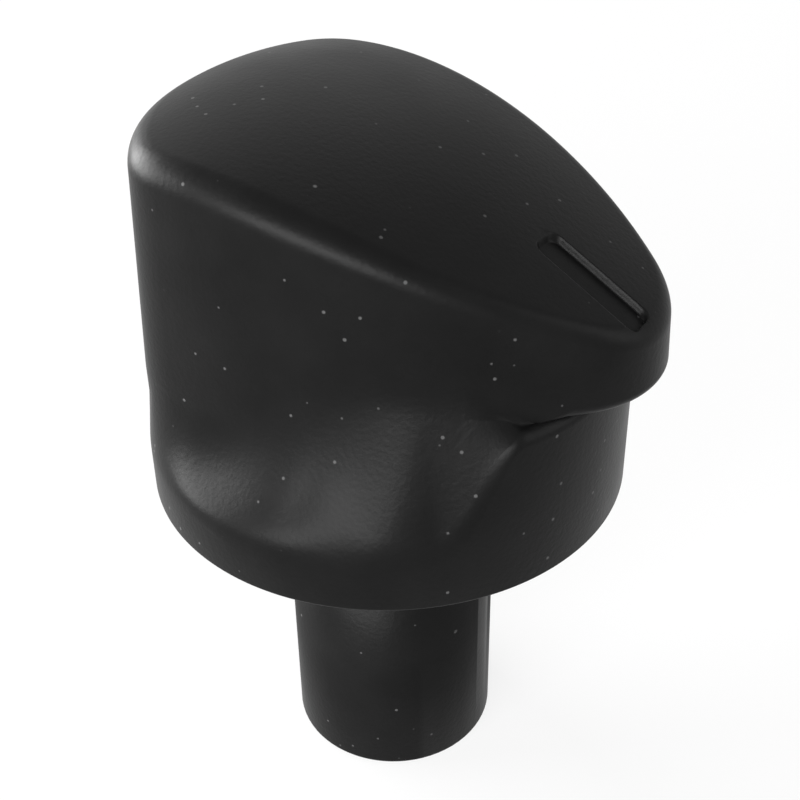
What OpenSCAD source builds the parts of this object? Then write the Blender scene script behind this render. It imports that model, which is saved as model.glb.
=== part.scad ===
// Stove knob: one moulding with a round skirt, a sculpted finger grip that ends
// in a blunt pointer, and a long plain stem with a D-shaped socket, plus the
// leaf spring that keeps the knob on the valve shaft.
// Millimetres. +Z runs up the stem, +X towards the pointer, and the origin is
// the middle of the stem's end face, on which the knob stands.

/* [Stem] */
// Outer diameter of the stem
stem_d = 14.6; // [13:0.1:17]
// Length of the stem below the skirt
stem_length = 23.7; // [18:0.1:40]
// Rounding of the stem's outer end edge
stem_edge = 0.4; // [0.2:0.1:1]

/* [Shaft socket] */
// Diameter of the valve shaft
shaft_d = 8; // [6:0.1:8.4]
// Depth of the flat on the valve shaft
shaft_flat = 1.5; // [0.8:0.1:2]
// Clearance of the socket round the shaft, on each side
shaft_gap = 0.1; // [0.05:0.05:0.3]
// Depth to which the shaft enters, from the stem's end
socket_depth = 21; // [16:0.5:28]
// Diameter of the round lead-in at the mouth of the socket
lead_in_d = 10; // [9.4:0.1:11]
// Depth of the round lead-in
lead_in_depth = 2; // [1:0.1:4]

/* [Leaf spring] */
// Thickness of the spring strip
spring_t = 0.4; // [0.3:0.05:0.6]
// Width of the spring strip
spring_w = 4; // [3:0.1:4.6]
// Length of the bowed blade
spring_length = 13; // [9:0.5:13.5]
// How far the bow stands into the shaft's space
spring_press = 0.35; // [0.2:0.05:0.5]
// Depth of the slot behind the shaft's flat
slot_depth = 1.1; // [0.8:0.05:1.3]
// Clearance beside and beyond the spring in its slot
slot_gap = 0.15; // [0.1:0.05:0.3]

/* [Skirt] */
// Diameter of the skirt
skirt_d = 32; // [30:0.5:38]
// Height of the skirt under the pointer
skirt_height = 11.2; // [9:0.1:13]
// Thickness of the skirt's wall
skirt_wall = 2.2; // [1.5:0.1:3]
// Rounding of the skirt's lower edge
skirt_edge = 0.2; // [0.1:0.05:0.6]
// Slope of the narrow ledge on the skirt beside the pointer
rim_slope = 10; // [2:1:20]
// Rounding of the skirt's upper edge under the pointer
rim_radius = 0.9; // [0.4:0.1:1.4]
// Fillet between that edge and the grip's wall
rim_fillet = 0.6; // [0.3:0.1:1]

/* [Finger scoops] */
// Height of the scoop's lip above the skirt's underside
lip_height = 4.1; // [3.6:0.1:4.6]
// Thickness of the skirt under the scoops
floor_wall = 2; // [1.6:0.1:2.4]
// Height at which the scoop starts to turn out of the flank, on the pointer side
scoop_top = 14; // [12:0.1:15]
// The same height near the heel
heel_side_top = 9.5; // [8.5:0.1:10.5]
// Angle from the pointer at which the scoop ends
scoop_end = 66; // [62:1:68]
// Half of the angle over which it runs out there
scoop_blend = 13; // [9:1:14]
// Angle by which the scoop ends sooner at its lip than at its top
scoop_lean = 10; // [6:1:14]
// Sharpness of the scoop's lip, from soft to crisp
lip_sharpness = 7; // [5:1:10]
// Sharpness of the edge that closes the scoop towards the pointer
end_sharpness = 2; // [1.5:0.5:4]
// Height at which the skirt starts to slope in to the flank beside the scoop
shoulder_height = 4; // [3.6:0.1:5]
// Height at which that slope would meet the flank
shoulder_top = 13.2; // [12:0.1:14.5]
// Rounding of the shoulder at its lower and its upper end
shoulder_radius = 7; // [4:0.5:8]

/* [Grip] */
// Width of the grip at its widest
grip_width = 24.5; // [22:0.1:28]
// Place along X of the widest section
widest_at = -2.7; // [-4:0.1:0]
// Radius of each flank seen from above
flank_radius = 28.4; // [26:0.1:34]
// Distance from the stem's axis to the pointer's front
pointer_reach = 18.5; // [17:0.1:20]
// How far the heel stands inside the skirt's diameter
heel_inset = 0.6; // [0.3:0.05:1]
// Height at which the skirt starts to flare in to the heel
heel_height = 3.5; // [2:0.1:6]
// Slope of that flare
heel_slope = 84; // [78:1:87]
// Rounding of the flare at its lower and its upper end
heel_radius = 8; // [3:0.5:12]
// Draft of the grip's walls in degrees
draft = 1.5; // [0.5:0.1:3]
// Rounding of the pointer's lower edge
pointer_edge = 0.8; // [0.4:0.1:1.6]

/* [Top] */
// Height of the top's highest point above the skirt's underside
top_height = 25.7; // [22:0.1:30]
// Place along X of the highest point
crest_at = -7.1; // [-9:0.1:-5]
// Height of the top at the pointer's front
pointer_height = 15.6; // [14:0.1:18]
// Downward slope of the top at the pointer's front
pointer_slope = 29; // [25:1:36]
// Radius of the top across the grip
crown_radius = 54; // [40:1:80]
// Rounding of the ridge between the top and the walls
ridge_radius = 1.9; // [1:0.1:2.2]
// Thickness of the roof over the cored pockets
roof_wall = 2.4; // [2:0.1:4]

/* [Indicator groove] */
// Width of the groove
groove_w = 2.3; // [1.6:0.1:2.8]
// Depth of the groove
groove_depth = 0.5; // [0.3:0.05:1]
// Distance from the stem's axis to the groove's inner end
groove_start = 11; // [9:0.1:13]
// Distance from the stem's axis to its outer end
groove_end = 17.6; // [16:0.1:17.6]
// Rounding of the corners of both ends
groove_corner = 0.7; // [0.3:0.05:0.75]
// Angle of the groove from the middle of the pointer, towards the -Y flank
groove_turn = 6; // [0:1:7]

/* [Cored underside] */
// Thickness of the rib in each pocket
rib_t = 1.6; // [1:0.1:2.4]
// Diameter of the boss that carries the stem up to the roof
boss_d = 13.8; // [12.8:0.1:14.2]

/* [Hidden] */

// Facets of the round solids
round_fn = 96;
// Columns round the sculpted body and rows of each stretch of its outline
columns = 120;
edge_rows = 2;
lip_rows = 6;
floor_rows = 8;
ridge_rows = 5;
top_rows = 9;
// Overlap that lets one cut run into the next
cut_over = 1;

skirt_r = skirt_d / 2;
stem_r = stem_d / 2;
heel_r = skirt_r - heel_inset;
heel_blend = 0.9;

// Angles from the pointer between which the skirt's rim gives way to the shoulder,
// the shoulder's slope climbs to its full height, the edge drops, meets the
// scoop's lip and turns into the heel
RIM_TO_SHOULDER = [34, 44];
SHOULDER_CLIMB = [28, 44];
SHOULDER_DROP = [31, 53];
BAND_TO_LIP = [62, 82];
SHOULDER_TO_HEEL = [100, 124];
// Height of the shoulder's edge over the scoop's lip, which the lip cuts away
lip_margin = 1.3;
// Angles between which the outline starts to follow the scoop, the lip turns
// crisp and the scoop gets lower towards the heel
RECESS_START = [43, 50];
SOFT_TO_CRISP = [66, 88];
FRONT_TO_BACK = [76, 116];
// Share of the scoop's radius below which its foot runs out along the floor
FLOOR_RUN_OUT = 0.12;
// Height over the lip at which the outline's points along the scoop start, and
// the angle by which they run on past the lip
LIP_ROWS_START = 1.6;
LIP_ROWS_OVER = 8;
// Share of the overhang that the pointer's lower edge may take
under_share = 0.8;
// How much closer the outline's points lie at the lip and on the top's rim
lip_crowding = 1.5;
rim_crowding = 1.3;

// The flanks are arcs centred off the far side, joined by the pointer's arc
flank_off = flank_radius - grip_width / 2;
tip_span = pointer_reach - widest_at;
tip_radius = (pow(flank_radius, 2) - pow(tip_span, 2) - pow(flank_off, 2))
    / (2 * (flank_radius - tip_span));
tip_at = pointer_reach - tip_radius;
tip_angle = let (
        reach = flank_radius / (flank_radius - tip_radius),
        touch = [widest_at + (tip_at - widest_at) * reach, flank_off * (reach - 1)]
    ) atan2(touch[1], touch[0]);

socket_r = shaft_d / 2 + shaft_gap;
flat_x = shaft_d / 2 - shaft_flat + shaft_gap;
slot_x = flat_x + slot_depth;
slot_w = spring_w + 2 * slot_gap;
foot_x = sqrt(pow(lead_in_d / 2, 2) - pow(slot_w / 2, 2)) - 2 * slot_gap;
recess_depth = lip_height - floor_wall;
roof_overlap = roof_wall / 2;

function clamp(v, low, high) = min(max(v, low), high);

// Lesser of two values with their meeting rounded over the span k
function soft_min(a, b, k) =
    min(a, b) - pow(max(k - abs(a - b), 0), 2) / (4 * k);

// Distance from the axis to the flank's arc, at an angle from the pointer
function flank_at(angle) =
    let (along = widest_at * cos(angle) - flank_off * sin(angle))
    along + sqrt(pow(along, 2) + pow(flank_radius, 2)
        - pow(widest_at, 2) - pow(flank_off, 2));

// Distance from the axis to the grip's wall, at an angle from the pointer
function tip_at_angle(angle) =
    tip_at * cos(angle) + sqrt(pow(tip_radius, 2) - pow(tip_at * sin(angle), 2));

function grip_at(angle) =
    angle < tip_angle ? tip_at_angle(angle)
    : angle < 90 ? flank_at(angle)
    : soft_min(flank_at(angle), heel_r, heel_blend);

// Height of the top over a point of the plan
function top_at(x, y) =
    let (
        span = pointer_reach - crest_at,
        drop = top_height - pointer_height,
        fall = tan(pointer_slope) * span,
        t = (x - crest_at) / span
    )
    top_height - (3 * drop - fall) * pow(t, 2) + (2 * drop - fall) * pow(t, 3)
        - (crown_radius - sqrt(pow(crown_radius, 2) - pow(y, 2)));

// Smooth step from 0 to 1 over a span of two values
function ease(v, span) =
    let (t = clamp((v - span[0]) / (span[1] - span[0]), 0, 1)) t * t * (3 - 2 * t);

function mix(a, b, t) = a + (b - a) * t;

// Value at an angle, from its values at the rim, the shoulder and the heel
function around(angle, values) =
    mix(mix(values[0], values[1], ease(angle, RIM_TO_SHOULDER)),
        values[2], ease(angle, SHOULDER_TO_HEEL));

// Height of the skirt's upper edge, at an angle
function shoulder_at(angle) =
    let (
        front = mix(skirt_height, shoulder_height, ease(angle, SHOULDER_DROP)),
        beside = mix(front, lip_height + lip_margin, ease(angle, BAND_TO_LIP))
    )
    mix(beside, heel_height, ease(angle, SHOULDER_TO_HEEL));

// Height at which the scoop leaves the flank, and the radius of its section,
// which is upright there and comes out at the lip
function scoop_top_at(angle) =
    mix(scoop_top, heel_side_top, ease(angle, FRONT_TO_BACK));

function scoop_radius(rise, ledge) =
    rise < ledge ? rise : (pow(ledge, 2) + pow(rise, 2)) / (2 * ledge);

// How far the scoop is cut at a point: it ends sooner towards its lip
function scoop_share(angle, z) =
    let (lean = clamp((scoop_top - z) / (scoop_top - lip_height), 0, 1.2))
    ease(angle - scoop_lean * pow(lean, 2),
        [scoop_end - scoop_blend, scoop_end + scoop_blend]);

// Distance from the flank to the scoop's surface, at a height over its floor.
// The section's foot runs out to infinity along the floor.
function hollow(h, radius) =
    radius - sqrt(pow(radius, 2) - pow(radius - h, 2))
        + pow(max(FLOOR_RUN_OUT * radius / h - 1, 0), 2);

// What the scoop leaves of a ledge where it reaches in to a distance from the flank
function cut_ledge(ledge, reach, sharpness) =
    reach < 0.000001 ? 0
    : ledge / pow(1 + pow(ledge / reach, sharpness), 1 / sharpness);

// Ceilings of the cored pockets, under the lowest stretch of the roof over each
nose_top = top_at(skirt_r - skirt_wall, 0) - roof_wall;
heel_top = top_at(stem_r, 0) - roof_wall;

// The skirt's upper edge at an angle: [slope, lower height, upper height, wall,
// cut and radius at the lower end, cut and radius at the upper end, length]
function edge_of(angle) =
    let (
        low_z = shoulder_at(angle),
        wall = grip_at(angle) + (skirt_height - low_z) * tan(draft),
        top_z = mix(skirt_height, shoulder_top, ease(angle, SHOULDER_CLIMB)),
        steep = max(atan2(top_z - low_z, max(skirt_r - wall, 0.5)), rim_slope),
        slope = mix(steep, heel_slope, ease(angle, SHOULDER_TO_HEEL)),
        length = (skirt_r - wall) / cos(slope),
        bend = tan(45 - slope / 2),
        low = around(angle, [rim_radius, shoulder_radius, heel_radius]) * bend,
        high = around(angle, [rim_fillet, shoulder_radius, heel_radius]) * bend,
        low_cut = min(low, max(length / 2, rim_radius * bend)),
        high_cut = min(high, length - low_cut)
    )
    [slope, low_z, low_z + (skirt_r - wall) * tan(slope), wall,
        low_cut, low_cut / bend, high_cut, high_cut / bend, length];

// Distance from the axis to the skirt's edge and the wall above it, at a height
function edge_at(edge, z) =
    let (
        slope = edge[0], low_z = edge[1], high_z = edge[2], wall = edge[3],
        low_cut = edge[4], low_r = edge[5], high_cut = edge[6], high_r = edge[7]
    )
    z < low_z - low_cut ? skirt_r
    : z < low_z + low_cut * sin(slope)
        ? skirt_r - low_r + sqrt(max(pow(low_r, 2) - pow(z - low_z + low_cut, 2), 0))
    : z < high_z - high_cut * sin(slope) ? skirt_r - (z - low_z) / tan(slope)
    : z < high_z + high_cut
        ? wall + high_r - sqrt(max(pow(high_r, 2) - pow(high_z + high_cut - z, 2), 0))
    : wall;

// Outline of the body in the half plane at an angle from the pointer, as
// [distance from the axis, height] from the skirt's lower edge to the top.
// Between the skirt and the wall it runs along a slope with a rounding at its
// lower end and a fillet at its upper end, less what the scoop takes away.
// Under the pointer, where the wall overhangs the skirt, it runs out along the
// underside instead.
function outline(angle) =
    let (
        c = cos(angle),
        s = sin(angle),
        edge = edge_of(angle),
        slope = edge[0], low_z = edge[1], high_z = edge[2], wall = edge[3],
        low_cut = edge[4], low_r = edge[5], high_cut = edge[6], high_r = edge[7],
        under = min((low_cut - edge[8]) * under_share, pointer_edge),
        share = ease(angle, RECESS_START),
        sharpness = mix(end_sharpness, lip_sharpness, ease(angle, SOFT_TO_CRISP)),
        rise = scoop_top_at(angle) - lip_height,
        radius = scoop_radius(rise, skirt_r - wall),
        floor_z = scoop_top_at(angle) - radius,
        first_turn = acos(clamp((rise + LIP_ROWS_START) / radius, 0, 1)),
        lip_turn = asin(clamp(1 - (skirt_r - wall) / radius, 0, 0.98)) + LIP_ROWS_OVER
    )
    concat(
        [for (i = [0 : edge_rows]) let (t = 90 * i / edge_rows)
            [skirt_r - skirt_edge * (1 - sin(t)), skirt_edge * (1 - cos(t))]],
        [for (i = [0 : lip_rows])
            let (
                t = (90 - slope) * i / lip_rows,
                u = mix(lip_turn, first_turn, pow(1 - (i + 0.5) / (lip_rows + 0.5), lip_crowding)),
                z = mix(low_z - low_cut + low_r * sin(t), floor_z + radius * (1 - cos(u)), share)
            )
            share > 0 ? recessed([edge_at(edge, z), z], wall, floor_z, radius, sharpness,
                scoop_share(angle, z))
            : [skirt_r - low_r * (1 - cos(t)), z]],
        [for (i = [1 : floor_rows])
            let (
                t = (90 - slope) * (1 - i / floor_rows),
                u = mix(lip_turn, 90, i / floor_rows),
                over = 90 * i / floor_rows,
                z = mix(high_z + high_cut - high_r * sin(t), floor_z + radius * (1 - cos(u)), share)
            )
            share > 0 ? recessed([edge_at(edge, z), z], wall, floor_z, radius, sharpness,
                scoop_share(angle, z))
            : high_cut > 0 ? [wall + high_r * (1 - cos(t)), z]
            : [wall - under * (1 - sin(over)), low_z + under * (1 - cos(over))]],
        crown(c, s, grip_at(angle))
    );

// A point of the outline, moved in to the scoop by the share that is cut there
function recessed(p, wall, floor_z, radius, sharpness, share) =
    let (h = p[1] - floor_z, ledge = p[0] - wall)
    h <= 0 || share <= 0 || ledge <= 0 ? p
    : h >= radius ? [mix(p[0], wall, share), p[1]]
    : [mix(p[0], wall + cut_ledge(ledge, hollow(h, radius), sharpness), share), p[1]];

// Upper part of the same outline: the ridge and the top
function crown(c, s, foot) =
    let (
        wall = foot - (top_at(foot * c, foot * s) - skirt_height) * tan(draft),
        corner = top_at(wall * c, wall * s),
        inner = wall - ridge_radius,
        lean = atan((corner - top_at(inner * c, inner * s)) / ridge_radius),
        arc_z = corner - ridge_radius * tan((90 + lean) / 2),
        seam_r = inner + ridge_radius * cos(90 + lean)
    )
    concat(
        [for (i = [0 : ridge_rows - 1]) let (t = (90 + lean) * i / ridge_rows)
            [inner + ridge_radius * cos(t), arc_z + ridge_radius * sin(t)]],
        [for (i = [0 : top_rows - 1]) let (r = seam_r * (1 - pow(i / top_rows, rim_crowding)))
            [r, top_at(r * c, r * s)]]
    );

// Closed skin through one outline at each angle round the axis
module body() {
    outlines = [for (i = [0 : columns - 1])
        let (angle = 360 * i / columns) outline(min(angle, 360 - angle))];
    rows = len(outlines[0]);
    points = concat(
        [for (i = [0 : columns - 1]) let (angle = 360 * i / columns)
            for (p = outlines[i]) [p[0] * cos(angle), p[0] * sin(angle), p[1]]],
        [[0, 0, top_at(0, 0)]]);
    crest = columns * rows;
    sides = [for (i = [0 : columns - 1])
        let (a = i * rows, b = (i + 1) % columns * rows)
        for (j = [0 : rows - 2])
            each [[a + j, a + j + 1, b + j + 1], [a + j, b + j + 1, b + j]]];
    peak = [for (i = [0 : columns - 1])
        [(i + 1) * rows - 1, crest, ((i + 1) % columns + 1) * rows - 1]];
    underside = [[for (i = [0 : columns - 1]) i * rows]];
    polyhedron(points, concat(sides, peak, underside));
}

// Round bar with a rounded edge at its lower end, up to the moulding over the
// stem, and the boss that carries it on to the roof
module stem(top, boss_top) {
    rotate_extrude($fn = round_fn) {
        square([stem_r - stem_edge, top]);
        translate([0, stem_edge])
            square([stem_r, top - stem_edge]);
        translate([stem_r - stem_edge, stem_edge])
            circle(stem_edge);
        square([boss_d / 2, boss_top]);
    }
}

// Core of one pocket, on the pointer side (side = 1) or the heel side (-1)
module pocket(side, top) {
    intersection() {
        cylinder(r = skirt_r - skirt_wall, h = top, $fn = round_fn);
        intersection_for (flank = [-1, 1])
            translate([widest_at, flank * flank_off, -cut_over])
                cylinder(r = flank_radius - skirt_wall, h = top + 2 * cut_over, $fn = round_fn);
        translate([side > 0 ? 0 : -skirt_r, -skirt_r, -cut_over])
            cube([skirt_r, skirt_d, top + 2 * cut_over]);
    }
}

// Rib along the middle of a pocket, let into the skirt's wall and the roof
module rib(side, top) {
    length = skirt_r - skirt_wall / 2;
    translate([side > 0 ? 0 : -length, -rib_t / 2, recess_depth])
        cube([length, rib_t, top - recess_depth + roof_overlap]);
}

// D-shaped hole for the valve shaft, with its round lead-in, the slot behind
// its flat for the spring and the notch for the spring's foot
module socket() {
    translate([0, 0, -cut_over])
        cylinder(d = lead_in_d, h = lead_in_depth + cut_over, $fn = round_fn);
    difference() {
        cylinder(r = socket_r, h = socket_depth, $fn = round_fn);
        translate([flat_x, -socket_r, -cut_over])
            cube([socket_r, 2 * socket_r, socket_depth + 2 * cut_over]);
    }
    translate([0, -slot_w / 2, 0])
        cube([slot_x, slot_w, lead_in_depth + spring_length + slot_gap]);
    translate([0, -slot_w / 2, lead_in_depth - cut_over])
        cube([foot_x + slot_gap, slot_w, spring_t + cut_over]);
}

// Straight groove down the top, closed at both ends, its floor along the top's
// slope and its sides upright on it
module groove() {
    drop = top_at(groove_start, 0) - top_at(groove_end, 0);
    run = groove_end - groove_start;
    height = ridge_radius + groove_depth;
    rotate([0, 0, -groove_turn])
        translate([groove_start, 0, top_at(groove_start, 0)])
            rotate([0, atan(drop / run), 0])
                translate([0, 0, -groove_depth]) {
                    length = sqrt(pow(run, 2) + pow(drop, 2));
                    for (x = [groove_corner, length - groove_corner], side = [-1, 1])
                        translate([x, side * (groove_w / 2 - groove_corner), 0])
                            cylinder(r = groove_corner, h = height, $fn = round_fn / 4);
                    translate([0, groove_corner - groove_w / 2, 0])
                        cube([length, groove_w - 2 * groove_corner, height]);
                    translate([groove_corner, -groove_w / 2, 0])
                        cube([length - 2 * groove_corner, groove_w, height]);
                }
}

module knob() {
    color([0.03, 0.03, 0.03])
        difference() {
            union() {
                translate([0, 0, stem_length]) {
                    difference() {
                        body();
                        translate([0, 0, -cut_over])
                            cylinder(r = skirt_r - skirt_wall, h = recess_depth + cut_over,
                                $fn = round_fn);
                        pocket(1, nose_top);
                        pocket(-1, heel_top);
                    }
                    rib(1, nose_top);
                    rib(-1, heel_top);
                }
                stem(stem_length + recess_depth, stem_length + heel_top + roof_overlap);
            }
            socket();
            translate([0, 0, stem_length])
                groove();
        }
}

// Bowed strip with a foot let into the step of the lead-in
module shaft_spring() {
    bow = slot_depth + spring_press - spring_t;
    arc = (pow(spring_length / 2, 2) + pow(bow, 2)) / (2 * bow);
    color([0.75, 0.75, 0.72])
        translate([0, spring_w / 2, lead_in_depth])
            rotate([90, 0, 0])
                linear_extrude(spring_w) {
                    intersection() {
                        translate([slot_x - bow + arc, spring_length / 2])
                            difference() {
                                circle(arc + spring_t, $fn = round_fn);
                                circle(arc, $fn = round_fn);
                            }
                        square([slot_x, spring_length]);
                    }
                    translate([slot_x - spring_t, 0])
                        square([foot_x - slot_x + spring_t, spring_t]);
                }
}

knob();
shaft_spring();
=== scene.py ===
import math

import bmesh
import bpy
from mathutils import Matrix, Vector


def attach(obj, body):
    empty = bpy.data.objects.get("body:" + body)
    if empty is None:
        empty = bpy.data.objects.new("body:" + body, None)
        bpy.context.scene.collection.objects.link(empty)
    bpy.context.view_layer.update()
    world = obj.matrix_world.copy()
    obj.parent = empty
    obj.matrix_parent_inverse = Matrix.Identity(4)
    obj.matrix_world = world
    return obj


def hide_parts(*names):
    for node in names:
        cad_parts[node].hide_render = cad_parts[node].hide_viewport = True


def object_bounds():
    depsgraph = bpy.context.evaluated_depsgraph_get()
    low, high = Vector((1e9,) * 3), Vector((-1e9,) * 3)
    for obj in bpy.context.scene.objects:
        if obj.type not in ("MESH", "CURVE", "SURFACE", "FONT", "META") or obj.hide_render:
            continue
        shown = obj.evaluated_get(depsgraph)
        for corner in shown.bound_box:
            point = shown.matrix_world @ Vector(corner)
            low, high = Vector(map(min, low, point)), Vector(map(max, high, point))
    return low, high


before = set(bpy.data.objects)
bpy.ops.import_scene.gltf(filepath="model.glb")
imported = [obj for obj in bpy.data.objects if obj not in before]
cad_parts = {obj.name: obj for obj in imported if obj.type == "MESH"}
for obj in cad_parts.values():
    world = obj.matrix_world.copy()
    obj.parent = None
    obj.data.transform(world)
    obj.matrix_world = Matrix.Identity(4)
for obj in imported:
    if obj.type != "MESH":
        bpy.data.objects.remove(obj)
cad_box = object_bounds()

# Stove knob. Its outside is drawn again with the formulas of the solids, but finer, and is joined
# to the solid's own stem, socket and cored underside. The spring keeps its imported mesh.
# Lengths are millimetres and angles are degrees, unless a name or comment says otherwise. Angles
# round the axis run from the pointer, 0, to the heel, 180. Heights are over the skirt's underside.
MM = 0.001

# Sizes of the knob, named as in the solids
STEM_LENGTH = 23.7
SKIRT_R = 16.0
SKIRT_HEIGHT = 11.2
SKIRT_WALL = 2.2
SKIRT_EDGE = 0.2
RIM_SLOPE = 10
RIM_RADIUS = 0.9
RIM_FILLET = 0.6
LIP_HEIGHT = 4.1
SCOOP_TOP = 14
HEEL_SIDE_TOP = 9.5
SCOOP_END = 66
SCOOP_BLEND = 13
SCOOP_LEAN = 10
LIP_SHARPNESS = 7
END_SHARPNESS = 2
SHOULDER_HEIGHT = 4
SHOULDER_TOP = 13.2
SHOULDER_RADIUS = 7
GRIP_WIDTH = 24.5
WIDEST_AT = -2.7
FLANK_RADIUS = 28.4
POINTER_REACH = 18.5
HEEL_INSET = 0.6
HEEL_HEIGHT = 3.5
HEEL_SLOPE = 84
HEEL_RADIUS = 8
HEEL_BLEND = 0.9
DRAFT = 1.5
POINTER_EDGE = 0.8
TOP_HEIGHT = 25.7
CREST_AT = -7.1
POINTER_HEIGHT = 15.6
POINTER_SLOPE = 29
CROWN_RADIUS = 54
RIDGE_RADIUS = 1.9
GROOVE_W = 2.3
GROOVE_DEPTH = 0.5
GROOVE_START = 11
GROOVE_END = 17.6
GROOVE_CORNER = 0.7
GROOVE_TURN = 6

# Angles from the pointer between which one stretch of the skirt's edge or the scoop turns into
# the next, as in the solids
RIM_TO_SHOULDER = (34, 44)
SHOULDER_CLIMB = (28, 44)
SHOULDER_DROP = (31, 53)
BAND_TO_LIP = (62, 82)
SHOULDER_TO_HEEL = (100, 124)
RECESS_START = (43, 50)
SOFT_TO_CRISP = (66, 88)
FRONT_TO_BACK = (76, 116)

# Lesser values of the outline, as in the solids
LIP_MARGIN = 1.3
FLOOR_RUN_OUT = 0.12
UNDER_SHARE = 0.8
LEAST_LEDGE = 0.5
LEAST_REACH = 0.000001
MOST_LEAN = 1.2
MOST_LIP_SINE = 0.98

# The flanks are arcs centred off the far side, joined by the pointer's arc
FLANK_OFF = FLANK_RADIUS - GRIP_WIDTH / 2
TIP_SPAN = POINTER_REACH - WIDEST_AT
TIP_RADIUS = (FLANK_RADIUS**2 - TIP_SPAN**2 - FLANK_OFF**2) / (2 * (FLANK_RADIUS - TIP_SPAN))
TIP_AT = POINTER_REACH - TIP_RADIUS
TIP_SHARE = FLANK_RADIUS / (FLANK_RADIUS - TIP_RADIUS)
TIP_ANGLE = math.atan2(
    FLANK_OFF * (TIP_SHARE - 1), WIDEST_AT + (TIP_AT - WIDEST_AT) * TIP_SHARE
)

# The groove's edge and foot are rounded here: distances inside its outline at which its depth
# starts and is reached
GROOVE_BEVEL = (-0.07, 0.15)

# How finely the skin is divided. Columns: how many lie between the pointer's middle and the angle
# that covers the groove, and how many from there to the heel. Rows: by stretch of the outline.
GROOVE_COLUMNS = 80
GROOVE_ANGLE = 13
OTHER_COLUMNS = 190
EDGE_ROWS = 4
LIP_ROWS = 20
LIP_ROWS_START = 1.6
LIP_ROWS_OVER = 8
LIP_CROWDING = 1.5
FLOOR_ROWS = 28
RIDGE_ROWS = 16
TOP_ROWS = 68
# Extra rows at the groove's inner end, to each side, and their step as a share of the radius
END_ROWS = 12
END_ROW_STEP = 0.0022

# What is kept of the solid: faces at the underside or lower, and faces inside the walls or far
# enough under the top. The slack lets in the faces of the cores' own walls.
UNDERSIDE_SLACK = 0.001
WALL_SLACK = 0.05
ROOF_LEAST = 1.8
# Distance over which the skin's lowest row joins the solid's edge, and angle that stays sharp
JOIN_DISTANCE = 0.002
SHARP_ANGLE = 38

# Black moulding: linear base colours and roughnesses between which the clouding runs. Scales are
# in cells or waves per metre.
MOULDING_SPECULAR = 0.07
MOULDING_BASE = (0.0032, 0.0048)
MOULDING_ROUGHNESS = (0.36, 0.42)
CLOUD_SCALE = 190
CLOUD_DETAIL = 6
CLOUD_SPAN = (0.3, 0.7)
GRAIN_SCALE = 3000
GRAIN_DETAIL = 5
GRAIN_DEPTH = 0.035
GRAIN_STRENGTH = 0.5
# Dust: cells per metre, radius in cells, share of cells that hold a speck
FINE_DUST = (900, 0.12, 0.35)
FEW_DUST = (330, 0.06, 0.2)
FINE_DUST_SHARE = 0.5
DUST_BASE = 0.11
SPECK_CORE = 0.6
SPECK_KEPT_CORE = 0.9

# Spring steel, with marks drawn out along the strip
STEEL_BASE = (0.42, 0.6)
STEEL_ROUGHNESS = (0.25, 0.4)
STEEL_MARKS_SCALE = 6000
STEEL_MARKS_DETAIL = 2
STEEL_MARKS_STRETCH = (1, 1, 0.05)

# Camera, as fitted to the photograph: bearing to the right of the pointer's side, rise, roll,
# distance and sideways and upward shift in skirt radii, focal length in pixels, and the height
# of the point that it is measured from
VIEW_TURN = 28
VIEW_RISE = 34.87
VIEW_ROLL = 0.95
VIEW_DISTANCE = 6.0
VIEW_SHIFT = (0.049, 0.213)
VIEW_FOCAL = 1389.84
VIEW_CENTRE_HEIGHT = 0.1
IMAGE_WIDTH = 800
SENSOR_WIDTH = 36
NEAREST_SEEN_M = 0.005

# Floor and world, in metres. The white share is what the camera sees of the floor as plain white;
# the rest is shaded and keeps the shadow. It runs from FLOOR_WHITE to 1 over the fade's distances.
FLOOR_HALF_SIZE_M = 4.0
FLOOR_BASE = 0.7
FLOOR_ROUGHNESS = 0.9
FLOOR_WHITE = 0.85
FLOOR_FADE_M = (0.09, 0.3)
WORLD_LEVEL = 0.05
WHITE = (1, 1, 1, 1)

# Lamps: name, azimuth, elevation, width and height in degrees, radiance
LAMPS = (
    ("left_low", -112, 12, 56, 36, 19),
    ("front_left", -30, 17, 46, 21, 21),
    ("back", 180, 40, 40, 30, 0.8),
    ("right_side", 74, 24, 30, 44, 2.6),
)


def clamp(v, low, high):
    return min(max(v, low), high)


def mix(a, b, t):
    return a + (b - a) * t


def ease(v, span):
    """Smooth step from 0 to 1 over a span of two values."""
    t = clamp((v - span[0]) / (span[1] - span[0]), 0, 1)
    return t * t * (3 - 2 * t)


def soft_min(a, b, k):
    """Lesser of two values, with their meeting rounded over the span k."""
    return min(a, b) - max(k - abs(a - b), 0) ** 2 / (4 * k)


def tan_deg(angle):
    return math.tan(math.radians(angle))


def around(angle, values):
    """Value at an angle, from its values at the rim, the shoulder and the heel."""
    front = mix(values[0], values[1], ease(angle, RIM_TO_SHOULDER))
    return mix(front, values[2], ease(angle, SHOULDER_TO_HEEL))


def flank_at(angle, radius=FLANK_RADIUS):
    """Distance from the axis to the flank's arc, or to one of another radius round its centre."""
    a = math.radians(angle)
    along = WIDEST_AT * math.cos(a) - FLANK_OFF * math.sin(a)
    return along + math.sqrt(along**2 + radius**2 - WIDEST_AT**2 - FLANK_OFF**2)


def grip_at(angle):
    """Distance from the axis to the grip's wall."""
    a = math.radians(angle)
    if a < TIP_ANGLE:
        return TIP_AT * math.cos(a) + math.sqrt(TIP_RADIUS**2 - (TIP_AT * math.sin(a)) ** 2)
    if angle < 90:
        return flank_at(angle)
    return soft_min(flank_at(angle), SKIRT_R - HEEL_INSET, HEEL_BLEND)


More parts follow.
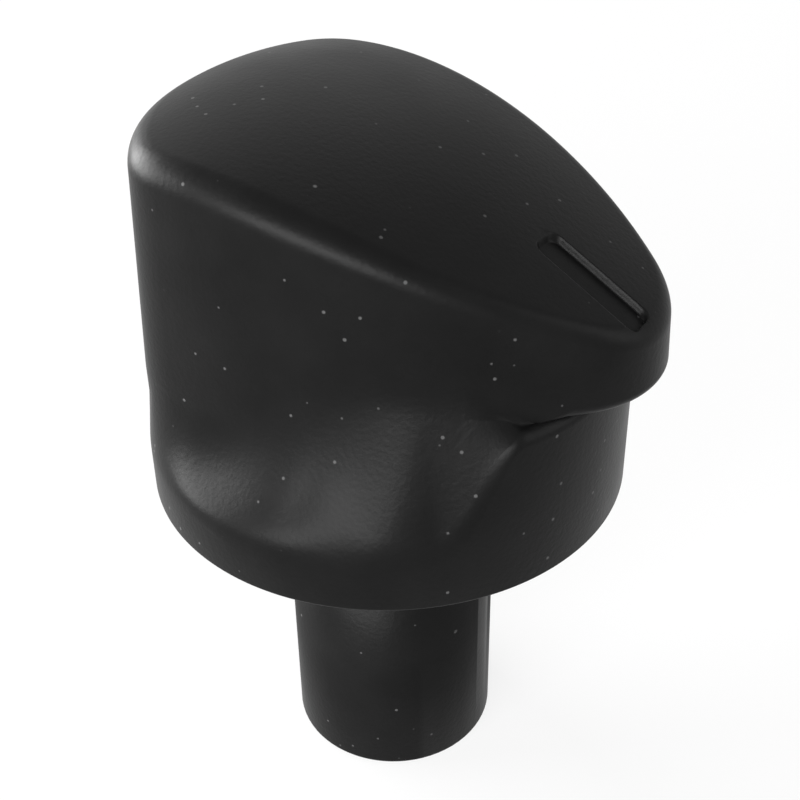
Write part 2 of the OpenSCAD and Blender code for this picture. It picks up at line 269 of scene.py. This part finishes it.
def plain_top(x, y):
    """Height of the top over a point of the plan, without the groove."""
    span = POINTER_REACH - CREST_AT
    drop = TOP_HEIGHT - POINTER_HEIGHT
    fall = tan_deg(POINTER_SLOPE) * span
    t = (x - CREST_AT) / span
    spine = TOP_HEIGHT - (3 * drop - fall) * t**2 + (2 * drop - fall) * t**3
    return spine - (CROWN_RADIUS - math.sqrt(CROWN_RADIUS**2 - y**2))


def groove_cut(x, y):
    """Depth of the groove at a point of the plan."""
    turn = math.radians(GROOVE_TURN)
    along = x * math.cos(turn) - y * math.sin(turn)
    across = x * math.sin(turn) + y * math.cos(turn)
    middle, half_length = (GROOVE_START + GROOVE_END) / 2, (GROOVE_END - GROOVE_START) / 2
    out_x = abs(along - middle) - half_length + GROOVE_CORNER
    out_y = abs(across) - GROOVE_W / 2 + GROOVE_CORNER
    round_corner = math.hypot(max(out_x, 0), max(out_y, 0))
    outside = round_corner + min(max(out_x, out_y), 0) - GROOVE_CORNER
    return GROOVE_DEPTH * ease(-outside, GROOVE_BEVEL)


def top_at(x, y):
    return plain_top(x, y) - groove_cut(x, y)


def shoulder_at(angle):
    """Height of the skirt's upper edge: it drops from the rim beside the pointer."""
    front = mix(SKIRT_HEIGHT, SHOULDER_HEIGHT, ease(angle, SHOULDER_DROP))
    beside = mix(front, LIP_HEIGHT + LIP_MARGIN, ease(angle, BAND_TO_LIP))
    return mix(beside, HEEL_HEIGHT, ease(angle, SHOULDER_TO_HEEL))


def edge_of(angle):
    """The skirt's upper edge: its slope, its ends' heights, the wall, and its ends' roundings."""
    low_z = shoulder_at(angle)
    wall = grip_at(angle) + (SKIRT_HEIGHT - low_z) * tan_deg(DRAFT)
    top_z = mix(SKIRT_HEIGHT, SHOULDER_TOP, ease(angle, SHOULDER_CLIMB))
    climb = math.atan2(top_z - low_z, max(SKIRT_R - wall, LEAST_LEDGE))
    steep = max(math.degrees(climb), RIM_SLOPE)
    slope = mix(steep, HEEL_SLOPE, ease(angle, SHOULDER_TO_HEEL))
    length = (SKIRT_R - wall) / math.cos(math.radians(slope))
    bend = tan_deg(45 - slope / 2)
    low = around(angle, (RIM_RADIUS, SHOULDER_RADIUS, HEEL_RADIUS)) * bend
    high = around(angle, (RIM_FILLET, SHOULDER_RADIUS, HEEL_RADIUS)) * bend
    low_cut = min(low, max(length / 2, RIM_RADIUS * bend))
    high_cut = min(high, length - low_cut)
    return {
        "slope": slope,
        "low_z": low_z,
        "high_z": low_z + (SKIRT_R - wall) * tan_deg(slope),
        "wall": wall,
        "length": length,
        "low_cut": low_cut,
        "low_r": low_cut / bend,
        "high_cut": high_cut,
        "high_r": high_cut / bend,
    }


def edge_at(edge, z):
    """Distance from the axis to the skirt's edge and the wall above it, at a height."""
    rise = math.sin(math.radians(edge["slope"]))
    low_z, low_cut, low_r = edge["low_z"], edge["low_cut"], edge["low_r"]
    high_z, high_cut, high_r = edge["high_z"], edge["high_cut"], edge["high_r"]
    if z < low_z - low_cut:
        return SKIRT_R
    if z < low_z + low_cut * rise:
        return SKIRT_R - low_r + math.sqrt(max(low_r**2 - (z - low_z + low_cut) ** 2, 0))
    if z < high_z - high_cut * rise:
        return SKIRT_R - (z - low_z) / tan_deg(edge["slope"])
    if z < high_z + high_cut:
        return edge["wall"] + high_r - math.sqrt(max(high_r**2 - (high_z + high_cut - z) ** 2, 0))
    return edge["wall"]


def scoop_of(angle, wall):
    """The scoop's section: how far the outline follows it, its lip's sharpness, its radius and
    floor, and the turns along it at which the outline's rows start and reach the lip."""
    top = mix(SCOOP_TOP, HEEL_SIDE_TOP, ease(angle, FRONT_TO_BACK))
    rise, ledge = top - LIP_HEIGHT, SKIRT_R - wall
    radius = rise if rise < ledge else (ledge**2 + rise**2) / (2 * ledge)
    start = math.acos(clamp((rise + LIP_ROWS_START) / radius, 0, 1))
    lip = math.asin(clamp(1 - ledge / radius, 0, MOST_LIP_SINE))
    return {
        "share": ease(angle, RECESS_START),
        "sharpness": mix(END_SHARPNESS, LIP_SHARPNESS, ease(angle, SOFT_TO_CRISP)),
        "radius": radius,
        "floor_z": top - radius,
        "first_turn": math.degrees(start),
        "lip_turn": math.degrees(lip) + LIP_ROWS_OVER,
    }


def scoop_share(angle, z):
    """How far the scoop is cut at a point: it ends sooner towards its lip."""
    lean = clamp((SCOOP_TOP - z) / (SCOOP_TOP - LIP_HEIGHT), 0, MOST_LEAN)
    span = (SCOOP_END - SCOOP_BLEND, SCOOP_END + SCOOP_BLEND)
    return ease(angle - SCOOP_LEAN * lean**2, span)


def recessed(angle, z, edge, scoop):
    """Distance from the axis at a height, once the scoop has cut into the ledge round the grip."""
    r, wall = edge_at(edge, z), edge["wall"]
    radius, sharpness = scoop["radius"], scoop["sharpness"]
    h = z - scoop["floor_z"]
    ledge = r - wall
    share = scoop_share(angle, z)
    if h <= 0 or share <= 0 or ledge <= 0:
        return r
    if h >= radius:
        return mix(r, wall, share)
    reach = radius - math.sqrt(radius**2 - (radius - h) ** 2)
    reach += max(FLOOR_RUN_OUT * radius / h - 1, 0) ** 2
    if reach < LEAST_REACH:
        return mix(r, wall, share)
    left = ledge / (1 + (ledge / reach) ** sharpness) ** (1 / sharpness)
    return mix(r, wall + left, share)


def row_height(own_z, turn, scoop):
    """Height of a row: its own on the skirt's edge, and that on the scoop as it is followed."""
    on_scoop = scoop["floor_z"] + scoop["radius"] * (1 - math.cos(math.radians(turn)))
    return mix(own_z, on_scoop, scoop["share"])


def lower_edge():
    """The skirt's rounded lower edge."""
    turns = [math.pi / 2 * i / EDGE_ROWS for i in range(EDGE_ROWS + 1)]
    return [
        (SKIRT_R - SKIRT_EDGE * (1 - math.sin(t)), SKIRT_EDGE * (1 - math.cos(t))) for t in turns
    ]


def lip_points(angle, edge, scoop):
    """The rounding at the skirt's upper edge, or the scoop's lip."""
    points = []
    for i in range(LIP_ROWS + 1):
        t = math.radians((90 - edge["slope"]) * i / LIP_ROWS)
        crowded = 1 - (1 - (i + 0.5) / (LIP_ROWS + 0.5)) ** LIP_CROWDING
        turn = mix(scoop["first_turn"], scoop["lip_turn"], crowded)
        own_z = edge["low_z"] - edge["low_cut"] + edge["low_r"] * math.sin(t)
        z = row_height(own_z, turn, scoop)
        if scoop["share"] > 0:
            points.append((recessed(angle, z, edge, scoop), z))
        else:
            points.append((SKIRT_R - edge["low_r"] * (1 - math.cos(t)), z))
    return points


def floor_points(angle, edge, scoop):
    """The fillet up to the wall, the scoop's floor, or the underside of the pointer."""
    under = min((edge["low_cut"] - edge["length"]) * UNDER_SHARE, POINTER_EDGE)
    wall = edge["wall"]
    points = []
    for i in range(1, FLOOR_ROWS + 1):
        t = math.radians((90 - edge["slope"]) * (1 - i / FLOOR_ROWS))
        own_z = edge["high_z"] + edge["high_cut"] - edge["high_r"] * math.sin(t)
        z = row_height(own_z, mix(scoop["lip_turn"], 90, i / FLOOR_ROWS), scoop)
        if scoop["share"] > 0:
            points.append((recessed(angle, z, edge, scoop), z))
        elif edge["high_cut"] > 0:
            points.append((wall + edge["high_r"] * (1 - math.cos(t)), z))
        else:
            over = math.pi / 2 * i / FLOOR_ROWS
            low_z = edge["low_z"] + under * (1 - math.cos(over))
            points.append((wall - under * (1 - math.sin(over)), low_z))
    return points


def top_shares():
    """Shares of the ridge's radius at which the top's rows lie, close at the groove's end."""
    end_share = GROOVE_START / (POINTER_REACH - RIDGE_RADIUS)
    even = [1 - i / TOP_ROWS for i in range(TOP_ROWS)]
    near = [end_share + END_ROW_STEP * k for k in range(-END_ROWS, END_ROWS + 1)]
    return sorted(set(even + near), reverse=True)


def crown_points(c, s, foot):
    """The wall's upper end, the ridge and the top, in the direction (c, s)."""
    wall = foot - (plain_top(foot * c, foot * s) - SKIRT_HEIGHT) * tan_deg(DRAFT)
    corner = plain_top(wall * c, wall * s)
    inner = wall - RIDGE_RADIUS
    fall = (corner - plain_top(inner * c, inner * s)) / RIDGE_RADIUS
    turn = 90 + math.degrees(math.atan(fall))
    arc_z = corner - RIDGE_RADIUS * tan_deg(turn / 2)
    points = []
    for i in range(RIDGE_ROWS):
        t = math.radians(turn * i / RIDGE_ROWS)
        r = inner + RIDGE_RADIUS * math.cos(t)
        points.append((r, arc_z + RIDGE_RADIUS * math.sin(t) - groove_cut(r * c, r * s)))
    seam = inner + RIDGE_RADIUS * math.cos(math.radians(turn))
    for share in top_shares():
        r = seam * share
        points.append((r, top_at(r * c, r * s)))
    return points


def outline(angle, side):
    """Distances from the axis and heights, from the skirt's lower edge to the top, at an angle
    from the pointer; side is 1 for the flank at +Y and -1 for the other, where the groove turns."""
    a = math.radians(angle)
    edge = edge_of(angle)
    scoop = scoop_of(angle, edge["wall"])
    return (
        lower_edge()
        + lip_points(angle, edge, scoop)
        + floor_points(angle, edge, scoop)
        + crown_points(math.cos(a), side * math.sin(a), grip_at(angle))
    )


def column_angles():
    """Angles of the skin's columns, close together over the groove."""
    half = [GROOVE_ANGLE * i / GROOVE_COLUMNS for i in range(GROOVE_COLUMNS)]
    half += [mix(GROOVE_ANGLE, 180, i / OTHER_COLUMNS) for i in range(OTHER_COLUMNS + 1)]
    return half + [360 - a for a in reversed(half[1:-1])]


def skin_mesh():
    """The sculpted outside of the knob, from the skirt's lower edge to the top."""
    angles = column_angles()
    outlines = [outline(min(a, 360 - a), -1 if a > 180 else 1) for a in angles]
    highest = cad_box[1][2]
    verts = []
    for angle, points in zip(angles, outlines):
        c, s = math.cos(math.radians(angle)), math.sin(math.radians(angle))
        for r, z in points:
            verts.append((r * c * MM, r * s * MM, min((z + STEM_LENGTH) * MM, highest)))
    verts.append((0, 0, (top_at(0, 0) + STEM_LENGTH) * MM))
    faces = []
    rows, count = len(outlines[0]), len(angles)
    for i in range(count):
        a, b = i * rows, (i + 1) % count * rows
        faces += [(a + j, b + j, b + j + 1, a + j + 1) for j in range(rows - 1)]
        faces.append((a + rows - 1, b + rows - 1, len(verts) - 1))
    mesh = bpy.data.meshes.new("knob_skin")
    mesh.from_pydata(verts, [], faces)
    return mesh


def is_inner(point):
    """Whether a point of the solid knob belongs to its stem, underside or cored inside."""
    x, y, z = point.x / MM, point.y / MM, point.z / MM - STEM_LENGTH
    if z < UNDERSIDE_SLACK:
        return True
    angle = abs(math.degrees(math.atan2(y, x)))
    reach = SKIRT_R - SKIRT_WALL
    if z >= LIP_HEIGHT:
        reach = min(reach, flank_at(angle, FLANK_RADIUS - SKIRT_WALL))
    return math.hypot(x, y) < reach + WALL_SLACK and z < plain_top(x, y) - ROOF_LEAST


def build_knob():
    """The knob: the solid's own stem and underside, joined to the finely divided skin."""
    bm = bmesh.new()
    bm.from_mesh(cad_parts["knob"].data)
    outer = [f for f in bm.faces if not is_inner(f.calc_center_median())]
    bmesh.ops.delete(bm, geom=outer, context="FACES")
    bm.from_mesh(skin_mesh())
    bmesh.ops.remove_doubles(bm, verts=bm.verts, dist=JOIN_DISTANCE * MM)
    mesh = bpy.data.meshes.new("knob_moulding")
    bm.to_mesh(mesh)
    bm.free()
    knob = bpy.data.objects.new("knob_moulding", mesh)
    bpy.context.scene.collection.objects.link(knob)
    mesh.shade_smooth()
    mesh.set_sharp_from_angle(angle=math.radians(SHARP_ANGLE))
    return knob


def new_material(name):
    material = bpy.data.materials.new(name)
    material.use_nodes = True
    return material, material.node_tree.nodes, material.node_tree.links


def ranged(nodes, links, source, span, start=0.0, end=1.0):
    """A value that goes from the span's first to its second, as the source runs start to end."""
    node = nodes.new("ShaderNodeMapRange")
    node.inputs["From Min"].default_value = start
    node.inputs["From Max"].default_value = end
    node.inputs["To Min"].default_value = span[0]
    node.inputs["To Max"].default_value = span[1]
    links.new(source, node.inputs["Value"])
    return node.outputs["Result"]


def combined(nodes, links, operation, a, b):
    """The result of a sum, product, maximum or the like of two sockets."""
    node = nodes.new("ShaderNodeMath")
    node.operation = operation
    links.new(a, node.inputs[0])
    links.new(b, node.inputs[1])
    return node.outputs[0]


def noise(nodes, links, where, scale, detail):
    node = nodes.new("ShaderNodeTexNoise")
    node.inputs["Scale"].default_value = scale
    node.inputs["Detail"].default_value = detail
    links.new(where, node.inputs["Vector"])
    return node.outputs["Fac"]


def specks(nodes, links, where, per_metre, size, kept):
    """1 on scattered small specks and 0 elsewhere; kept is the share of cells with a speck."""
    cells = nodes.new("ShaderNodeTexVoronoi")
    cells.inputs["Scale"].default_value = per_metre
    links.new(where, cells.inputs["Vector"])
    parts = nodes.new("ShaderNodeSeparateColor")
    links.new(cells.outputs["Color"], parts.inputs["Color"])
    spot = ranged(nodes, links, cells.outputs["Distance"], (1, 0), size * SPECK_CORE, size)
    own = ranged(nodes, links, parts.outputs["Red"], (1, 0), kept * SPECK_KEPT_CORE, kept)
    return combined(nodes, links, "MULTIPLY", spot, own)


def moulding_material():
    """Satin black moulded plastic with a fine grain, faint clouding and a little dust."""
    material, nodes, links = new_material("black_moulding")
    shader = nodes["Principled BSDF"]
    shader.inputs["Specular IOR Level"].default_value = MOULDING_SPECULAR
    where = nodes.new("ShaderNodeTexCoord").outputs["Object"]
    cloud = noise(nodes, links, where, CLOUD_SCALE, CLOUD_DETAIL)
    base = ranged(nodes, links, cloud, MOULDING_BASE, *CLOUD_SPAN)
    gloss = ranged(nodes, links, cloud, MOULDING_ROUGHNESS, *CLOUD_SPAN)
    links.new(gloss, shader.inputs["Roughness"])
    fine = specks(nodes, links, where, *FINE_DUST)
    few = specks(nodes, links, where, *FEW_DUST)
    faint = ranged(nodes, links, fine, (0, FINE_DUST_SHARE))
    dust = combined(nodes, links, "MAXIMUM", faint, few)
    colour = nodes.new("ShaderNodeMix")
    colour.data_type = "FLOAT"
    links.new(dust, colour.inputs["Factor"])
    links.new(base, colour.inputs["A"])
    colour.inputs["B"].default_value = DUST_BASE
    links.new(colour.outputs["Result"], shader.inputs["Base Color"])
    bump = nodes.new("ShaderNodeBump")
    bump.inputs["Strength"].default_value = GRAIN_STRENGTH
    bump.inputs["Distance"].default_value = GRAIN_DEPTH * MM
    links.new(noise(nodes, links, where, GRAIN_SCALE, GRAIN_DETAIL), bump.inputs["Height"])
    links.new(bump.outputs["Normal"], shader.inputs["Normal"])
    return material


def steel_material():
    """Plain spring steel with fine rolling marks along the strip."""
    material, nodes, links = new_material("spring_steel")
    shader = nodes["Principled BSDF"]
    shader.inputs["Metallic"].default_value = 1
    drawn = nodes.new("ShaderNodeMapping")
    drawn.inputs["Scale"].default_value = STEEL_MARKS_STRETCH
    links.new(nodes.new("ShaderNodeTexCoord").outputs["Object"], drawn.inputs["Vector"])
    marks = noise(nodes, links, drawn.outputs["Vector"], STEEL_MARKS_SCALE, STEEL_MARKS_DETAIL)
    links.new(ranged(nodes, links, marks, STEEL_BASE), shader.inputs["Base Color"])
    links.new(ranged(nodes, links, marks, STEEL_ROUGHNESS), shader.inputs["Roughness"])
    return material


def from_view(v):
    """A direction given as (right, away, up) of the camera's bearing, in the frame's axes."""
    c, s = math.cos(math.radians(VIEW_TURN)), math.sin(math.radians(VIEW_TURN))
    return Vector((v[0] * c - v[1] * s, v[0] * s + v[1] * c, v[2]))


def view_centre():
    return Vector((0, 0, (STEM_LENGTH + VIEW_CENTRE_HEIGHT) * MM))


def add_camera():
    """The camera at the photograph's viewing angle."""
    rise, roll = math.radians(VIEW_RISE), math.radians(VIEW_ROLL)
    right = Vector((1, 0, 0))
    up = Vector((0, math.sin(rise), math.cos(rise)))
    back = Vector((0, -math.cos(rise), math.sin(rise)))
    place = back * VIEW_DISTANCE + right * VIEW_SHIFT[0] + up * VIEW_SHIFT[1]
    c, s = math.cos(roll), math.sin(roll)
    axes = [from_view(right * c - up * s), from_view(right * s + up * c), from_view(back)]
    data = bpy.data.cameras.new("camera")
    data.sensor_width = SENSOR_WIDTH
    data.lens = VIEW_FOCAL / IMAGE_WIDTH * SENSOR_WIDTH
    data.clip_start = NEAREST_SEEN_M
    camera = bpy.data.objects.new("camera", data)
    matrix = Matrix(axes).transposed().to_4x4()
    matrix.translation = view_centre() + from_view(place) * SKIRT_R * MM
    camera.matrix_world = matrix
    bpy.context.scene.collection.objects.link(camera)
    bpy.context.scene.camera = camera


def show_white(nodes, links, shaded, white, surface, share=None):
    """Camera, glossy and transmission rays see white, or a share of it; others the shaded side."""
    path = nodes.new("ShaderNodeLightPath").outputs
    seen = combined(nodes, links, "MAXIMUM", path["Is Camera Ray"], path["Is Glossy Ray"])
    seen = combined(nodes, links, "MAXIMUM", seen, path["Is Transmission Ray"])
    if share is not None:
        seen = combined(nodes, links, "MULTIPLY", seen, share)
    white.inputs["Color"].default_value = WHITE
    blend = nodes.new("ShaderNodeMixShader")
    links.new(seen, blend.inputs[0])
    links.new(shaded.outputs[0], blend.inputs[1])
    links.new(white.outputs[0], blend.inputs[2])
    links.new(blend.outputs[0], surface)


def add_floor():
    """A large pale floor under the knob's stem, plain white some way off."""
    h = FLOOR_HALF_SIZE_M
    mesh = bpy.data.meshes.new("floor")
    mesh.from_pydata([(-h, -h, 0), (h, -h, 0), (h, h, 0), (-h, h, 0)], [], [(0, 1, 2, 3)])
    floor = bpy.data.objects.new("floor", mesh)
    bpy.context.scene.collection.objects.link(floor)
    material, nodes, links = new_material("floor_white")
    shader = nodes["Principled BSDF"]
    shader.inputs["Base Color"].default_value = (FLOOR_BASE, FLOOR_BASE, FLOOR_BASE, 1)
    shader.inputs["Roughness"].default_value = FLOOR_ROUGHNESS
    away = nodes.new("ShaderNodeVectorMath")
    away.operation = "LENGTH"
    links.new(nodes.new("ShaderNodeTexCoord").outputs["Object"], away.inputs[0])
    share = ranged(nodes, links, away.outputs["Value"], (FLOOR_WHITE, 1), *FLOOR_FADE_M)
    white = nodes.new("ShaderNodeEmission")
    show_white(nodes, links, shader, white, nodes["Material Output"].inputs["Surface"], share)
    floor.data.materials.append(material)


def add_world():
    """A white world that adds only a little light of its own."""
    world = bpy.data.worlds.new("studio")
    bpy.context.scene.world = world
    world.use_nodes = True
    nodes, links = world.node_tree.nodes, world.node_tree.links
    shaded = nodes["Background"]
    shaded.inputs["Color"].default_value = WHITE
    shaded.inputs["Strength"].default_value = WORLD_LEVEL
    white = nodes.new("ShaderNodeBackground")
    show_white(nodes, links, shaded, white, nodes["World Output"].inputs["Surface"])


def add_lamp(name, azimuth, elevation, width, height, radiance):
    """A soft lamp a metre away, its azimuth counted from the camera's side to the right."""
    a, e = math.radians(azimuth), math.radians(elevation)
    aim = from_view((math.sin(a) * math.cos(e), -math.cos(a) * math.cos(e), math.sin(e)))
    data = bpy.data.lights.new(name, "AREA")
    data.shape = "RECTANGLE"
    data.size = 2 * tan_deg(width / 2)
    data.size_y = 2 * tan_deg(height / 2)
    data.energy = radiance * math.pi * data.size * data.size_y
    lamp = bpy.data.objects.new(name, data)
    lamp.location = view_centre() + aim
    lamp.rotation_euler = aim.to_track_quat("Z", "Y").to_euler()
    lamp.visible_camera = False
    bpy.context.scene.collection.objects.link(lamp)


knob = build_knob()
knob.data.materials.clear()
knob.data.materials.append(moulding_material())
for polygon in knob.data.polygons:
    polygon.material_index = 0
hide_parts("knob")
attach(knob, "root")

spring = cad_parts["shaft_spring"]
spring.data.materials[0] = steel_material()

add_floor()
add_world()
add_camera()
for lamp in LAMPS:
    add_lamp(*lamp)
bpy.context.scene.view_settings.view_transform = "Standard"
